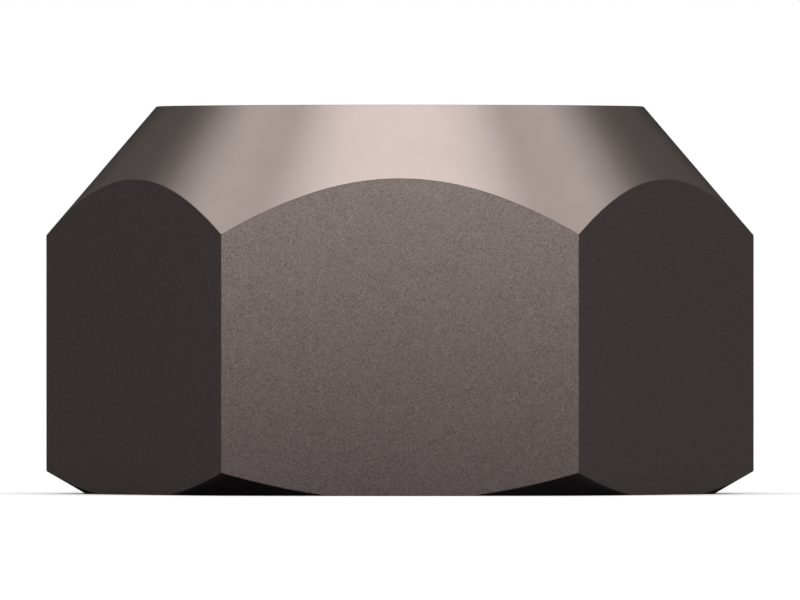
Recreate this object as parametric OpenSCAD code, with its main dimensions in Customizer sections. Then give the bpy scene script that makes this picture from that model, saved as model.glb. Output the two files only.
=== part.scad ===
// Tapered lock nut: a hexagon nut whose upper third is turned down to a cone.
// The thin tapered collar is squeezed on the bolt, so the nut holds without a washer or insert.
// Millimetres. +Z runs up the thread, and the origin is the centre of the bearing face.

/* [Hexagon] */
// Width across the flats, the spanner size
across_flats = 19; // [16:0.5:24]
// Overall height, from the bearing face to the top face
nut_h = 12; // [9:0.5:16]

/* [Taper] */
// Height of the taper where it leaves the hexagon's corners
taper_h = 4; // [2:0.25:6]
// Width of the flat ring round the thread at the top
top_rim = 1.2; // [0.8:0.05:2]

/* [Bearing face] */
// Height of the chamfer on the hexagon's corners
chamfer_h = 0.7; // [0.2:0.05:1.5]
// Slope of that chamfer above the bearing face, in degrees
chamfer_angle = 30; // [20:1:45]

/* [Thread] */
// Nominal diameter of the bolt
thread_d = 12; // [8:0.5:13]
// Distance from one turn of the thread to the next
thread_pitch = 1.75; // [1:0.25:2]
// How much wider than the bolt the lead-in is at its mouth
lead_in_over = 0.7; // [0.2:0.05:1.2]
// Included angle of the lead-in at each end, in degrees
lead_in_angle = 90; // [80:1:120]

/* [Hidden] */
// Corner radius of the hexagon
corner_r = across_flats / 2 / cos(180 / 6);
// Depth of an internal 60 degree thread, five eighths of its sharp triangle
thread_depth = 5 / 8 * thread_pitch * cos(30);
// Crest radius of the thread, which is the bore left before tapping
bore_r = thread_d / 2 - thread_depth;
// Radius of the lead-in at the bearing face and at the top face
lead_in_r = (thread_d + lead_in_over) / 2;
lead_in_h = (lead_in_r - bore_r) / tan(lead_in_angle / 2);
// Radius of the top face, and of the circle that the chamfer leaves on the bearing face
top_r = lead_in_r + top_rim;
bearing_r = corner_r - chamfer_h / tan(chamfer_angle);
// Slope of the taper above the bearing face, from the corners to the top face
taper_slope = taper_h / (corner_r - top_r);
// How far the turning tool runs outside the corners, and the tap past both faces
overcut = 1;
$fn = 96;

// Bar stock with two flats facing -Y and +Y and two corners on the X axis.
module hexagon_bar() {
    cylinder(r = corner_r, h = nut_h, $fn = 6);
}

// What the lathe leaves: chamfered corners below and the taper above.
module turned_blank() {
    outer_r = corner_r + overcut;
    rotate_extrude()
        polygon([
            [0, 0],
            [bearing_r, 0],
            [outer_r, chamfer_h + overcut * tan(chamfer_angle)],
            [outer_r, nut_h - taper_h - overcut * taper_slope],
            [top_r, nut_h],
            [0, nut_h],
        ]);
}

// The hole before tapping, with a conical lead-in at each end.
module thread_hole() {
    mouth_r = lead_in_r + overcut * tan(lead_in_angle / 2);
    rotate_extrude()
        polygon([
            [0, -overcut],
            [mouth_r, -overcut],
            [bore_r, lead_in_h],
            [bore_r, nut_h - lead_in_h],
            [mouth_r, nut_h + overcut],
            [0, nut_h + overcut],
        ]);
}

module lock_nut() {
    color("#6e6562")
        difference() {
            intersection() {
                hexagon_bar();
                turned_blank();
            }
            thread_hole();
        }
}

lock_nut();
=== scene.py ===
"""A tapered lock nut, modelled and finished for a studio picture.

The nut is made as a workshop makes it: a half section is turned into a blank, six flats are
milled off it, a right-hand thread is tapped through it, its edges are broken and its thin
collar is squeezed. The steel has a dark phosphate coat with a film of oil on it.
"""

import math

import bmesh
import bpy
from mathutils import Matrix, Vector


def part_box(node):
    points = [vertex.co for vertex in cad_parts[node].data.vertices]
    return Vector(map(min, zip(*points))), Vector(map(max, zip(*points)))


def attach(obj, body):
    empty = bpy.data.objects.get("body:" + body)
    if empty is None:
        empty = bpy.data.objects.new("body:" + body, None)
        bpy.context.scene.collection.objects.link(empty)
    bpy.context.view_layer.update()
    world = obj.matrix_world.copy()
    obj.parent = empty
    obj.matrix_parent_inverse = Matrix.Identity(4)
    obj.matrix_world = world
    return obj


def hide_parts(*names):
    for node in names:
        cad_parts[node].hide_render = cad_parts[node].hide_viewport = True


bl_info = {
    "name": "Tapered Lock Nut",
    "version": (1, 0, 0),
    "blender": (4, 5, 0),
    "location": "View3D > Sidebar > Lock Nut",
    "description": "Models a tapered lock nut with its thread, its finish and a studio stage",
    "category": "Mesh",
}

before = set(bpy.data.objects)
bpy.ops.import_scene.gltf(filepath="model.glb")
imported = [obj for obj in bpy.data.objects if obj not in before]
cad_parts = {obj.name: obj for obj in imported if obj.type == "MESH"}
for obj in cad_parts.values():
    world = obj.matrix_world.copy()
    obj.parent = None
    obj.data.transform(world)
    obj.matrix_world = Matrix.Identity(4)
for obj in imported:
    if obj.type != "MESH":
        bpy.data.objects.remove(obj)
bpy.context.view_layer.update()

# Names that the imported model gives
NODE = "lock_nut"
BODY = "root"

# One millimetre in metres. Blender merges and bevels by absolute distances, so the nut is
# drawn a thousand times its size, one unit to the millimetre, and is scaled down at the end.
MM = 0.001
# How far apart two drawn points may lie and still be merged, in millimetres
SAME = 1e-4
# How far from a cutting plane a drawn point may lie and still be on it, in millimetres
ON_PLANE = 1e-5
# How far from an end face or a corner of the CAD solid a point may lie and still belong to it
TOUCH = 0.01 * MM

# The hexagon
SIDES = 6
HALF_SIDE = math.pi / SIDES
# The standard 60 degree thread form, with its depth and the width of its root in pitches
FLANK_ANGLE = math.radians(30)
THREAD_DEPTH = 5 / 8 * math.cos(FLANK_ANGLE)
ROOT_WIDTH = 1 / 8
# How far the tap's valleys lie inside the bore, in pitches, so that only its ridge cuts
TAP_SINK = 1 / 7
# Turns that the tap has to spare at each end of the nut
SPARE_TURNS = 2
# How far the blank's corners and the tap's ends run past the finished nut, in millimetres
OVERCUT = 1.0
# Facets round the turned blank, round one turn of the thread and round the stage's card
TURNED_FACETS = 360
THREAD_FACETS = 144
CARD_FACETS = 96

# Angle from which an outer edge is broken, and the segments across the break
BREAK_FROM = math.radians(25)
BREAK_SEGMENTS = 2
# Room left unbroken where a chamfer runs out to a point, in widths of the break
RUN_OUT_ROOM = 12
# Angle up to which the faces at an edge are shaded as one
SMOOTH_TO = math.radians(35)
# Angle from which an edge of the thread is kept sharp, more than that between its own facets
THREAD_SHARP = math.radians(8)
# Weight at which the largest faces at a point set its shading alone
LARGEST_FACES = 100
# How far the normal of a face that looks up rises, and that of a face that is level
LOOKS_UP = 0.5
LEVEL = 0.9

# How far the coat's roughness strays to each side of its mean
GLOSS_RANGE = 0.01
# Distance between the bands of Blender's wave pattern at a scale of 1
WAVE_BAND = math.pi / 10

# How far the table and the tray lie below the nut, so that no two faces lie in one plane
TABLE_DROP = 0.005 * MM
TRAY_DROP = 0.002 * MM
# How far the camera sees, in distances to the nut
SIGHT = 10


def radius_of(point):
    """Distance of a point from the thread's axis."""
    return math.hypot(point.x, point.y)


def measure_nut():
    """Read the nut's sizes off the CAD solid, in metres."""
    low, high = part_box(NODE)
    points = [vertex.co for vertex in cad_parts[NODE].data.vertices]
    top = [radius_of(point) for point in points if high.z - point.z < TOUCH]
    bottom = [radius_of(point) for point in points if point.z - low.z < TOUCH]
    corners = [point.z for point in points if high.x - radius_of(point) < TOUCH]
    return {
        "across_flats": high.y - low.y,
        "height": high.z - low.z,
        "taper_start": max(corners),
        "chamfer_height": min(corners),
        "top_diameter": 2 * max(top),
        "bearing_diameter": 2 * max(bottom),
        "mouth_diameter": 2 * min(top),
        "bore_diameter": 2 * min(radius_of(point) for point in points),
    }


CAD = measure_nut()


# Properties

def linear(hex_colour):
    """Turn an sRGB hex colour into the linear values that Blender works in."""
    channels = [int(hex_colour[start:start + 2], 16) / 255 for start in (1, 3, 5)]
    return [c / 12.92 if c <= 0.04045 else ((c + 0.055) / 1.055) ** 2.4 for c in channels]


def length(name, description, default):
    """A length property, in metres."""
    return bpy.props.FloatProperty(
        name=name, description=description, default=default, min=0, unit="LENGTH", precision=6
    )


def colour(name, description, hex_colour):
    """A colour property, from its sRGB hex value."""
    return bpy.props.FloatVectorProperty(
        name=name, description=description, default=linear(hex_colour), min=0, max=1, subtype="COLOR"
    )


def share(name, description, default):
    """A property from 0 to 1."""
    return bpy.props.FloatProperty(
        name=name, description=description, default=default, min=0, max=1, subtype="FACTOR"
    )


def angle(name, description, degrees):
    """An angle property, from its value in degrees."""
    return bpy.props.FloatProperty(
        name=name, description=description, default=math.radians(degrees), min=0, unit="ROTATION"
    )


def strength(name, description, default):
    """A property for an amount of light."""
    return bpy.props.FloatProperty(name=name, description=description, default=default, min=0)


class LockNutSizes(bpy.types.PropertyGroup):
    """Sizes of the nut, read off the CAD solid where it has them"""

    across_flats: length("Across flats", "Width of the hexagon, the spanner size", CAD["across_flats"])
    height: length("Height", "From the bearing face to the top face", CAD["height"])
    taper_start: length("Taper start", "Height at which the taper leaves the corners", CAD["taper_start"])
    chamfer_height: length("Chamfer", "Height of the chamfer on the corners", CAD["chamfer_height"])
    top_diameter: length("Top face", "Outer diameter of the top face", CAD["top_diameter"])
    bearing_diameter: length("Bearing face", "Diameter of the bearing face", CAD["bearing_diameter"])
    mouth_diameter: length("Lead-in", "Diameter of the lead-in at its mouth", CAD["mouth_diameter"])
    bore_diameter: length("Bore", "Diameter of the bore before tapping", CAD["bore_diameter"])
    pitch: length("Pitch", "Distance from one turn of the thread to the next", 1.75 * MM)
    edge_break: length("Edge break", "Width of the small round on each outer edge", 0.02 * MM)
    squeeze: length("Squeeze", "How far the collar is pressed out of round at its top", 0.15 * MM)
    squeeze_depth: length("Squeeze depth", "How far down the collar the squeeze reaches", 2.9 * MM)


class LockNutFinish(bpy.types.PropertyGroup):
    """Colours and surface of the nut's phosphated steel"""

    coat: colour("Coat", "Colour of the oiled phosphate coat", "#776D69")
    coat_dark: colour("Dark coat", "Colour of the coat where it is thicker", "#736965")
    metal: share("Metal", "Share of the surface that shines as metal, the rest being matt crystals", 0.87)
    grain: length("Grain", "Size of the coat's crystals as drawn", 0.018 * MM)
    lean: angle("Lean", "How far the crystals on the flats lean", 1.7)
    # Painted highlight and shade: how much lighter a crystal on the flats is painted where it leans up,
    # and darker where it leans down
    painted_lean_shade: share("Shade", "How much lighter or darker than the coat a crystal on the flats is", 0.34)
    turned_grain: share("Turned grain", "How coarse the turned faces are beside the flats", 0.07)
    mottle: length("Mottle", "Size of the coat's lighter and darker patches", 0.7 * MM)
    feed: length("Feed", "Distance between the turning tool's grooves", 0.12 * MM)
    taper_groove: length("Taper groove", "Depth of the tool's grooves on the taper", 0.0002 * MM)
    end_groove: length("End groove", "Depth of the tool's grooves on the end faces", 0.0009 * MM)
    flat_roughness: share("Flats", "Roughness of the forged flats", 0.340)
    turned_roughness: share("Taper", "Roughness of the taper", 0.32)
    cut_roughness: share("Cut faces", "Roughness of the end faces and the oiled thread", 0.26)


class LockNutStage(bpy.types.PropertyGroup):
    """The table, the cards, the lights and the camera"""

    floor: colour("Floor", "Colour of the matt white table", "#F9F9F9")
    floor_size: length("Floor size", "Side of the square table", 1.6)
    left_card: colour("Left card", "Colour of the left half of the card tray", "#58525A")
    right_card: colour("Right card", "Colour of the right half of the card tray", "#686369")
    ring_card: colour("Ring card", "Colour of the card ring above the tray", "#767473")
    card_radius: length("Card radius", "Radius of the card tray and of the ring above it", 0.060)
    tray_height: length("Tray height", "Height of the card tray's wall", 0.018)
    card_height: length("Card height", "Height of the upper edge of the card ring and the flag", 0.062)
    flag: colour("Flag", "Colour of the black flag behind the nut", "#060606")
    flag_width: length("Flag width", "Width of the black flag", 0.051)
    flag_distance: length("Flag distance", "Distance of the black flag from the nut's axis", 0.054)
    top_spread: angle("Top spread", "Angle that the softbox overhead fills", 46)
    top_strength: strength("Top strength", "Light from the softbox overhead", 1.84)
    side_spread: angle("Side spread", "Angle that each side softbox fills", 17)
    side_strength: strength("Side strength", "Light from each side softbox", 0.18)
    side_tilt: angle("Side tilt", "Lean of the side softboxes to the left and right", 35)
    side_back: angle("Side back", "Lean of the side softboxes to the back", 10)
    strip_width: length("Strip width", "Width of the strip softbox in front", 0.090)
    strip_depth: length("Strip depth", "Depth of the strip softbox", 0.010)
    strip_distance: length("Strip distance", "Distance of the strip softbox from the nut's axis", 0.0535)
    strip_height: length("Strip height", "Height of the strip softbox", 0.0145)
    strip_brightness: strength("Strip brightness", "Brightness of its cloth, where 1 is white", 3.05)
    room: strength("Room", "Light from the white room", 0.42)
    lens: bpy.props.FloatProperty(
        name="Lens", description="Focal length, long so that the sides stay parallel",
        default=1200, min=1, unit="CAMERA",
    )
    view_width: length("View width", "Width of the picture at the nut's axis", 0.0248)


# Modelling helpers

def drawn(size):
    """A size in metres as it is drawn, one unit to the millimetre."""
    return size / MM


def draw_section(name, points):
    """Draw a half section in the XZ plane, by extruding one point from each place to the next."""
    bpy.ops.object.select_all(action="DESELECT")
    bpy.ops.mesh.primitive_plane_add(size=1)
    section = bpy.context.object
    section.name = section.data.name = name
    bpy.ops.object.mode_set(mode="EDIT")
    bpy.ops.mesh.merge(type="CENTER")
    bpy.ops.mesh.select_all(action="SELECT")
    first_radius, first_height = points[0]
    bpy.ops.transform.translate(value=(first_radius, 0, first_height))
    for before, after in zip(points, points[1:]):
        step = (after[0] - before[0], 0, after[1] - before[1])
        bpy.ops.mesh.extrude_region_move(TRANSFORM_OT_translate={"value": step})
    return section


def merge_points():
    """Merge the points that lie on each other."""
    bpy.ops.mesh.select_all(action="SELECT")
    bpy.ops.mesh.remove_doubles(threshold=SAME)


def close_up():
    """Merge the points that lie on each other, and turn every face outwards."""
    merge_points()
    bpy.ops.mesh.normals_make_consistent(inside=False)


def cut_away(place, normal):
    """Cut off what lies beyond a plane, and fill the cut."""
    bpy.ops.mesh.select_all(action="SELECT")
    bpy.ops.mesh.bisect(
        plane_co=place, plane_no=normal, use_fill=True, clear_outer=True, threshold=ON_PLANE
    )


def pick_edges(piece, sharpness, wanted):
    """Select the edges that are sharper than an angle and that a test wants."""
    bpy.ops.mesh.select_mode(type="EDGE")
    bpy.ops.mesh.select_all(action="DESELECT")
    bpy.ops.mesh.edges_select_sharp(sharpness=sharpness)
    shape = bmesh.from_edit_mesh(piece.data)
    for edge in shape.edges:
        if not wanted(edge):
            edge.select_set(False)
    bmesh.update_edit_mesh(piece.data)


def flat_normals():
    """Outward directions of the six flats, the first of them to the front."""
    turns = [-math.pi / 2 + 2 * HALF_SIDE * side for side in range(SIDES)]
    return [(math.cos(turn), math.sin(turn), 0) for turn in turns]


def chamfer_ends(sizes):
    """Places on the bottom edges of the flats where a corner's chamfer runs out to a point."""
    apothem = drawn(sizes.across_flats) / 2
    bearing_r = drawn(sizes.bearing_diameter) / 2
    along = math.sqrt(bearing_r ** 2 - apothem ** 2)
    return [
        (apothem * x - side * y, apothem * y + side * x, 0)
        for x, y, z in flat_normals()
        for side in (-along, along)
    ]


# Modelling the nut

def turn_blank(sizes):
    """Turn the blank: its half section is drawn as a loop and spun round the thread's axis."""
    height = drawn(sizes.height)
    corner_r = drawn(sizes.across_flats) / 2 / math.cos(HALF_SIDE)
    top_r = drawn(sizes.top_diameter) / 2
    bearing_r = drawn(sizes.bearing_diameter) / 2
    mouth_r = drawn(sizes.mouth_diameter) / 2
    bore_r = drawn(sizes.bore_diameter) / 2
    lead_in = mouth_r - bore_r
    chamfer_slope = drawn(sizes.chamfer_height) / (corner_r - bearing_r)
    taper_slope = (height - drawn(sizes.taper_start)) / (corner_r - top_r)
    blank_r = corner_r + OVERCUT
    section = [
        (mouth_r, 0),
        (bearing_r, 0),
        (blank_r, chamfer_slope * (blank_r - bearing_r)),
        (blank_r, height - taper_slope * (blank_r - top_r)),
        (top_r, height),
        (mouth_r, height),
        (bore_r, height - lead_in),
        (bore_r, lead_in),
        (mouth_r, 0),
    ]
    nut = draw_section("tapered_lock_nut", section)
    merge_points()
    bpy.ops.mesh.spin(steps=TURNED_FACETS, angle=2 * math.pi, center=(0, 0, 0), axis=(0, 0, 1))
    close_up()
    return nut


def mill_flats(sizes):
    """Mill the six flats off the blank, which leaves a scallop where each one meets the taper."""
    apothem = drawn(sizes.across_flats) / 2
    for normal in flat_normals():
        cut_away([apothem * axis for axis in normal], normal)
    close_up()
    bpy.ops.object.mode_set(mode="OBJECT")


def make_tap(sizes):
    """Make a tap: one pitch of its outline is wound up the axis, and both its ends are cut flat."""
    pitch = drawn(sizes.pitch)
    height = drawn(sizes.height)
    bore_r = drawn(sizes.bore_diameter) / 2
    root_r = bore_r + THREAD_DEPTH * pitch
    root_width = ROOT_WIDTH * pitch
    valley_r = bore_r - TAP_SINK * pitch
    flank = (root_r - valley_r) * math.tan(FLANK_ANGLE)
    valley_width = pitch - root_width - 2 * flank
    first = -SPARE_TURNS * pitch
    outline = [
        (valley_r, first),
        (valley_r, first + valley_width),
        (root_r, first + valley_width + flank),
        (root_r, first + valley_width + flank + root_width),
        (valley_r, first + pitch),
    ]
    tap = draw_section("tap", outline)
    bpy.ops.object.mode_set(mode="OBJECT")
    helix = tap.modifiers.new("helix", "SCREW")
    helix.axis = "Z"
    helix.angle = 2 * math.pi
    helix.screw_offset = pitch
    helix.iterations = math.ceil(height / pitch) + 2 * SPARE_TURNS
    helix.steps = helix.render_steps = THREAD_FACETS
    bpy.ops.object.modifier_apply(modifier=helix.name)
    bpy.ops.object.mode_set(mode="EDIT")
    merge_points()
    cut_away((0, 0, -OVERCUT), (0, 0, -1))
    cut_away((0, 0, height + OVERCUT), (0, 0, 1))
    close_up()
    bpy.ops.object.mode_set(mode="OBJECT")
    return tap


def tap_thread(nut, sizes):
    """Cut the right-hand thread through the bore, from one lead-in to the other."""
    tap = make_tap(sizes)
    bpy.ops.object.select_all(action="DESELECT")
    bpy.context.view_layer.objects.active = nut
    nut.select_set(True)
    cut = nut.modifiers.new("thread", "BOOLEAN")
    cut.operation = "DIFFERENCE"
    cut.solver = "EXACT"
    cut.object = tap
    bpy.ops.object.modifier_apply(modifier=cut.name)
    bpy.data.meshes.remove(tap.data)


def break_edges(nut, sizes):
    """Round every outer edge a little, except where a chamfer runs out to a point on a flat."""
    width = drawn(sizes.edge_break)
    inside_r = drawn(sizes.mouth_diameter) / 2 - width
    run_outs = chamfer_ends(sizes)

    def is_outer(edge):
        middle = (edge.verts[0].co + edge.verts[1].co) / 2
        clear = all(math.dist(middle, place) >= RUN_OUT_ROOM * width for place in run_outs)
        return clear and radius_of(middle) >= inside_r

    bpy.ops.object.mode_set(mode="EDIT")
    close_up()
    pick_edges(nut, BREAK_FROM, is_outer)
    bpy.ops.mesh.bevel(offset=width, segments=BREAK_SEGMENTS, affect="EDGES")
    close_up()
    bpy.ops.object.mode_set(mode="OBJECT")


def squeeze_collar(nut, sizes):
    """Press the collar's top out of round, front to back, which makes it grip the bolt."""
    height = drawn(sizes.height)
    bpy.ops.object.mode_set(mode="EDIT")
    close_up()
    bpy.ops.mesh.select_mode(type="VERT")
    bpy.ops.mesh.select_all(action="DESELECT")
    shape = bmesh.from_edit_mesh(nut.data)
    for vertex in shape.verts:
        vertex.select_set(height - vertex.co.z < SAME)
    bmesh.update_edit_mesh(nut.data)
    bpy.ops.transform.resize(
        value=(1, 1 - sizes.squeeze / sizes.mouth_diameter, 1),
        center_override=(0, 0, height),
        use_proportional_edit=True,
        proportional_edit_falloff="SMOOTH",
        proportional_size=drawn(sizes.squeeze_depth),
    )
    bpy.ops.object.mode_set(mode="OBJECT")


def part_thread(nut, sizes):
    """Keep the thread's flanks sharp against the lead-in cones, which they meet at a low angle."""
    inside_r = drawn(sizes.mouth_diameter / 2 - sizes.edge_break)

    def is_inside(edge):
        return max(radius_of(vertex.co) for vertex in edge.verts) <= inside_r

    bpy.ops.object.mode_set(mode="EDIT")
    pick_edges(nut, THREAD_SHARP, is_inside)
    bpy.ops.mesh.mark_sharp()
    bpy.ops.object.mode_set(mode="OBJECT")


def smooth_faces(nut, sizes):
    """Shade the faces smooth between the sharp edges, and scale the nut to its real size."""
    bpy.ops.object.shade_smooth_by_angle(angle=SMOOTH_TO)
    part_thread(nut, sizes)
    weights = nut.modifiers.new("flat_faces", "WEIGHTED_NORMAL")
    weights.keep_sharp = True
    weights.weight = LARGEST_FACES
    bpy.ops.object.modifier_apply(modifier=weights.name)
    nut.scale = (MM, MM, MM)
    bpy.ops.object.transform_apply(location=False, rotation=False, scale=True)


def check_closed(nut):
    """Stop if the cuts have left the nut's mesh open."""
    shape = bmesh.new()
    shape.from_mesh(nut.data)
    closed = all(edge.is_manifold for edge in shape.edges)
    shape.free()
    if not closed:
        raise RuntimeError("The nut's mesh is open, so its sizes don't go together")


# Materials

def add_node(tree, kind, inputs=(), **settings):
    """Add a node with its settings. Each input takes a value, or is linked if it takes a socket."""
    node = tree.nodes.new(kind)
    for name, value in settings.items():
        setattr(node, name, value)
    for name, value in dict(inputs).items():
        if isinstance(value, bpy.types.NodeSocket):
            tree.links.new(value, node.inputs[name])
        else:
            node.inputs[name].default_value = value
    return node


def empty_material(name):
    """A material with no nodes yet."""
    material = bpy.data.materials.new(name)
    material.use_nodes = True
    material.node_tree.nodes.clear()
    return material


def phosphated_steel(name, finish, metal, roughness, coarse, groove):
    """Carbon steel, zinc phosphated and oiled.

    The coat is a felt of fine crystals. It takes the mirror off the steel and leaves a dark, warm
    grey metal with a soft sheen, a sandy grain under a near light and faint cloudy patches. Each
    crystal's colour also carries a painted highlight where it leans up and painted shade where it
    leans down.
    """
    material = empty_material(name)
    tree = material.node_tree
    place = add_node(tree, "ShaderNodeTexCoord").outputs["Object"]
    # Each crystal leans its own way, and its colour is painted lighter where it leans up and darker where
    # it leans down, a painted highlight and shade for the light from above.
    # Real ones are about 0.01 mm across, so they are drawn coarser to show.
    crystals = add_node(
        tree, "ShaderNodeTexVoronoi", {"Vector": place, "Scale": 1 / finish.grain}
    ).outputs["Color"]
    reach = coarse * math.tan(finish.lean)
    leans = add_node(
        tree, "ShaderNodeVectorMath", {0: crystals, 1: [2 * reach] * 3, 2: [-reach] * 3},
        operation="MULTIPLY_ADD",
    )
    smooth = add_node(tree, "ShaderNodeNewGeometry").outputs["Normal"]
    leaning = add_node(
        tree, "ShaderNodeVectorMath", {0: smooth, 1: leans.outputs["Vector"]}, operation="ADD"
    )
    relief = add_node(tree, "ShaderNodeVectorMath", {0: leaning.outputs["Vector"]}, operation="NORMALIZE")
    normal = relief.outputs["Vector"]
    # The coat is thicker in some patches than in others, which are lighter and glossier
    patches = add_node(
        tree, "ShaderNodeTexNoise",
        {"Vector": place, "Scale": 1 / finish.mottle, "Detail": 3.0, "Roughness": 0.55},
    ).outputs["Fac"]
    coat = add_node(
        tree, "ShaderNodeMix",
        {"Factor": patches, "A": (*finish.coat_dark, 1), "B": (*finish.coat, 1)},
        data_type="RGBA",
    )
    # Painted highlight and shade: the coat's colour is scaled up by how far each crystal leans up, and
    # down by how far it leans down
    painted_lean_shade = coarse * finish.painted_lean_shade
    upward = add_node(tree, "ShaderNodeSeparateColor", {"Color": crystals}).outputs["Blue"]
    painted_lean_shades = add_node(
        tree, "ShaderNodeMapRange", {"Value": upward, "To Min": 1 - painted_lean_shade, "To Max": 1 + painted_lean_shade}
    )
    painted_shade_coat = add_node(
        tree, "ShaderNodeVectorMath",
        {0: coat.outputs["Result"], "Scale": painted_lean_shades.outputs["Result"]},
        operation="SCALE",
    )
    gloss = add_node(
        tree, "ShaderNodeMapRange",
        {"Value": patches, "To Min": roughness + GLOSS_RANGE, "To Max": roughness - GLOSS_RANGE},
    )
    if groove:
        marks = add_node(
            tree, "ShaderNodeTexWave",
            {"Vector": place, "Scale": WAVE_BAND / finish.feed, "Distortion": 1.5, "Detail": 1.0},
            wave_type="RINGS", rings_direction="Z",
        )
        grooves = add_node(
            tree, "ShaderNodeBump", {"Height": marks.outputs["Fac"], "Distance": groove, "Normal": normal}
        )
        normal = grooves.outputs["Normal"]
    shader = add_node(
        tree, "ShaderNodeBsdfPrincipled",
        {
            "Base Color": painted_shade_coat.outputs["Vector"],
            "Metallic": metal,
            "Roughness": gloss.outputs["Result"],
            "Normal": normal,
        },
    )
    add_node(tree, "ShaderNodeOutputMaterial", {"Surface": shader.outputs["BSDF"]})
    return material


def coat_nut(nut, sizes, finish):
    """Give the flats, the taper, the end faces and the thread each their own finish."""
    forged_grain = 1.0
    all_metal = 1.0
    no_groove = 0.0
    for name, metal, roughness, coarse, groove in (
        ("flats", finish.metal, finish.flat_roughness, forged_grain, no_groove),
        ("taper", finish.metal, finish.turned_roughness, finish.turned_grain, finish.taper_groove),
        ("ends", all_metal, finish.cut_roughness, finish.turned_grain, finish.end_groove),
        ("thread", all_metal, finish.cut_roughness, finish.turned_grain, no_groove),
    ):
        coat = phosphated_steel("phosphated_steel_" + name, finish, metal, roughness, coarse, groove)
        nut.data.materials.append(coat)
    flats, taper, ends, thread = range(len(nut.data.materials))
    normals = flat_normals()
    apothem = sizes.across_flats / 2
    for face in nut.data.polygons:
        centre = face.center
        rise = face.normal.z
        reach = max(centre.x * x + centre.y * y for x, y, z in normals)
        if radius_of(centre) < sizes.mouth_diameter / 2 - sizes.edge_break:
            face.material_index = thread
        elif rise < -LOOKS_UP or rise > LEVEL:
            face.material_index = ends
        elif apothem - reach < sizes.edge_break and rise < LOOKS_UP:
            face.material_index = flats
        else:
            face.material_index = taper


class LOCKNUT_OT_model_nut(bpy.types.Operator):
    """Model the nut, tap its thread and give it its finish"""

    bl_idname = "lock_nut.model_nut"
    bl_label = "Model Nut"
    bl_options = {"REGISTER", "UNDO"}

    def execute(self, context):
        sizes = context.scene.lock_nut_sizes
        nut = turn_blank(sizes)
        mill_flats(sizes)
        tap_thread(nut, sizes)
        break_edges(nut, sizes)
        squeeze_collar(nut, sizes)
        smooth_faces(nut, sizes)
        check_closed(nut)
        coat_nut(nut, sizes, context.scene.lock_nut_finish)
        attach(nut, BODY)
        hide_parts(NODE)
        return {"FINISHED"}


# The stage

def plain_material(name, hue):
    """A matt colour."""
    material = empty_material(name)
    tree = material.node_tree
    matt = add_node(tree, "ShaderNodeBsdfDiffuse", {"Color": (*hue, 1)})
    add_node(tree, "ShaderNodeOutputMaterial", {"Surface": matt.outputs["BSDF"]})
    return material


def lay_floor(stage):
    """A matt white table under the nut."""
    bpy.ops.object.select_all(action="DESELECT")
    bpy.ops.mesh.primitive_plane_add(size=stage.floor_size, location=(0, 0, -TABLE_DROP))
    floor = bpy.context.object
    floor.name = "floor"
    floor.data.materials.append(plain_material("matt_white_table", stage.floor))


def only_in_metal(card):
    """Let a card show in the metal's sheen and nowhere else."""
    card.visible_camera = False
    card.visible_diffuse = False
    card.visible_shadow = False
    card.visible_transmission = False


def stand_tray(stage):
    """An open tray of dark card round the nut, lighter on the right, so its upright faces stay dark."""
    bpy.ops.object.select_all(action="DESELECT")
    bpy.ops.mesh.primitive_cylinder_add(
        vertices=CARD_FACETS, radius=stage.card_radius, depth=stage.tray_height,
        end_fill_type="TRIFAN", location=(0, 0, stage.tray_height / 2 - TRAY_DROP),
    )
    tray = bpy.context.object
    tray.name = "card_tray"
    bpy.ops.object.mode_set(mode="EDIT")
    bpy.ops.mesh.select_mode(type="FACE")
    bpy.ops.mesh.select_all(action="DESELECT")
    shape = bmesh.from_edit_mesh(tray.data)
    for face in shape.faces:
        face.select_set(face.normal.z > LOOKS_UP)
    bmesh.update_edit_mesh(tray.data)
    bpy.ops.mesh.delete(type="FACE")
    bpy.ops.object.mode_set(mode="OBJECT")
    tray.data.materials.append(plain_material("left_card", stage.left_card))
    tray.data.materials.append(plain_material("right_card", stage.right_card))
    for face in tray.data.polygons:
        face.material_index = int(face.center.x > 0)
    only_in_metal(tray)


def stand_ring(stage):
    """A ring of lighter card on the tray, which the taper shows where it turns away."""
    bpy.ops.object.select_all(action="DESELECT")
    bpy.ops.mesh.primitive_cylinder_add(
        vertices=CARD_FACETS, radius=stage.card_radius, depth=stage.card_height - stage.tray_height,
        end_fill_type="NOTHING", location=(0, 0, (stage.card_height + stage.tray_height) / 2),
    )
    ring = bpy.context.object
    ring.name = "card_ring"
    ring.data.materials.append(plain_material("ring_card", stage.ring_card))
    only_in_metal(ring)


def stand_flag(stage):
    """A black flag behind the nut, which keeps the taper dark where it turns away."""
    bpy.ops.object.select_all(action="DESELECT")
    bpy.ops.mesh.primitive_plane_add(
        size=1, location=(0, stage.flag_distance, stage.card_height / 2), rotation=(math.pi / 2, 0, 0)
    )
    flag = bpy.context.object
    flag.name = "black_flag"
    flag.scale = (stage.flag_width, stage.card_height, 1)
    flag.data.materials.append(plain_material("black_cloth", stage.flag))
    only_in_metal(flag)


def hang(lamp, direction):
    """Hang a lamp so that its light comes from a direction."""
    holder = bpy.data.objects.new(lamp.name, lamp)
    bpy.context.scene.collection.objects.link(holder)
    holder.rotation_mode = "QUATERNION"
    holder.rotation_quaternion = Vector(direction).to_track_quat("Z", "Y")
    return holder


def hang_sun(name, direction, spread, energy):
    """A round softbox so far off that it lights every part of the nut alike."""
    lamp = bpy.data.lights.new(name, "SUN")
    lamp.energy = energy
    lamp.angle = spread
    hang(lamp, direction)


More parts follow.
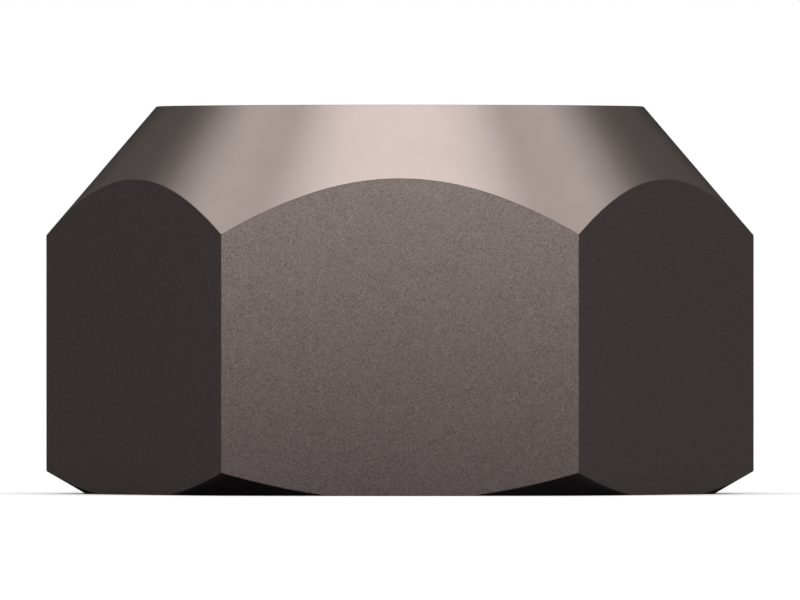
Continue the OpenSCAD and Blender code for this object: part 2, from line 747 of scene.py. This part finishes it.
def hang_strip(stage, sizes):
    """A strip softbox low in front of the nut, which grades its front flat from top to bottom."""
    lamp = bpy.data.lights.new("strip_softbox", "AREA")
    lamp.shape = "RECTANGLE"
    lamp.size = stage.strip_width
    lamp.size_y = stage.strip_depth
    lamp.energy = stage.strip_brightness * math.pi * stage.strip_width * stage.strip_depth
    place = Vector((0, -stage.strip_distance, stage.strip_height))
    front_flat = Vector((0, -sizes.across_flats / 2, sizes.height / 2))
    strip = hang(lamp, place - front_flat)
    strip.location = place
    strip.visible_camera = False


def hang_lights(stage, sizes):
    """A large softbox overhead, a small one to each side of it and a strip in front."""
    hang_sun("top_softbox", (0, 0, 1), stage.top_spread, stage.top_strength)
    for side in (-1, 1):
        lean = (
            side * math.sin(stage.side_tilt) * math.cos(stage.side_back),
            math.sin(stage.side_back),
            math.cos(stage.side_tilt) * math.cos(stage.side_back),
        )
        hang_sun("side_softbox", lean, stage.side_spread, stage.side_strength)
    hang_strip(stage, sizes)


def light_world(level):
    """An even white room. It is white to the camera and in the metal, and lights the rest plainly."""
    world = bpy.data.worlds.new("white_room")
    bpy.context.scene.world = world
    world.use_nodes = True
    tree = world.node_tree
    tree.nodes.clear()
    path = add_node(tree, "ShaderNodeLightPath").outputs
    seen = add_node(
        tree, "ShaderNodeMath", {0: path["Is Camera Ray"], 1: path["Is Glossy Ray"]}, operation="MAXIMUM"
    )
    shown = add_node(
        tree, "ShaderNodeMath", {0: seen.outputs["Value"], 1: path["Is Transmission Ray"]},
        operation="MAXIMUM",
    )
    brightness = add_node(
        tree, "ShaderNodeMapRange", {"Value": shown.outputs["Value"], "To Min": level, "To Max": 1.0}
    )
    white = add_node(
        tree, "ShaderNodeBackground", {"Color": (1, 1, 1, 1), "Strength": brightness.outputs["Result"]}
    )
    add_node(tree, "ShaderNodeOutputWorld", {"Surface": white.outputs["Background"]})


def set_camera(stage, sizes):
    """A long lens, level with the middle of the nut and square to its front flat."""
    camera = bpy.data.cameras.new("camera")
    camera.lens = stage.lens
    distance = stage.view_width * stage.lens / camera.sensor_width
    camera.clip_end = SIGHT * distance
    holder = bpy.data.objects.new("camera", camera)
    bpy.context.scene.collection.objects.link(holder)
    holder.location = (0, -distance, sizes.height / 2)
    holder.rotation_euler = (math.pi / 2, 0, 0)
    bpy.context.scene.camera = holder


class LOCKNUT_OT_set_stage(bpy.types.Operator):
    """Lay the table, stand the cards, hang the lights and set the camera"""

    bl_idname = "lock_nut.set_stage"
    bl_label = "Set Stage"
    bl_options = {"REGISTER", "UNDO"}

    def execute(self, context):
        stage = context.scene.lock_nut_stage
        sizes = context.scene.lock_nut_sizes
        lay_floor(stage)
        stand_tray(stage)
        stand_ring(stage)
        stand_flag(stage)
        hang_lights(stage, sizes)
        light_world(stage.room)
        set_camera(stage, sizes)
        context.scene.view_settings.view_transform = "Standard"
        return {"FINISHED"}


class LOCKNUT_PT_sidebar(bpy.types.Panel):
    """Sizes, finish and stage of the nut"""

    bl_idname = "LOCKNUT_PT_sidebar"
    bl_label = "Tapered Lock Nut"
    bl_space_type = "VIEW_3D"
    bl_region_type = "UI"
    bl_category = "Lock Nut"

    def draw(self, context):
        scene = context.scene
        for group in (scene.lock_nut_sizes, scene.lock_nut_finish, scene.lock_nut_stage):
            box = self.layout.box()
            for name in group.__annotations__:
                box.prop(group, name)
        self.layout.operator(LOCKNUT_OT_model_nut.bl_idname)
        self.layout.operator(LOCKNUT_OT_set_stage.bl_idname)


CLASSES = (
    LockNutSizes, LockNutFinish, LockNutStage,
    LOCKNUT_OT_model_nut, LOCKNUT_OT_set_stage, LOCKNUT_PT_sidebar,
)


def register():
    """Add the classes, and give each scene its sizes, finish and stage."""
    for cls in CLASSES:
        bpy.utils.register_class(cls)
    bpy.types.Scene.lock_nut_sizes = bpy.props.PointerProperty(type=LockNutSizes)
    bpy.types.Scene.lock_nut_finish = bpy.props.PointerProperty(type=LockNutFinish)
    bpy.types.Scene.lock_nut_stage = bpy.props.PointerProperty(type=LockNutStage)


def unregister():
    """Take back what register added."""
    del bpy.types.Scene.lock_nut_stage
    del bpy.types.Scene.lock_nut_finish
    del bpy.types.Scene.lock_nut_sizes
    for cls in reversed(CLASSES):
        bpy.utils.unregister_class(cls)


def main():
    """Make the nut and its stage."""
    register()
    bpy.ops.lock_nut.model_nut()
    bpy.ops.lock_nut.set_stage()


if __name__ == "__main__":
    main()
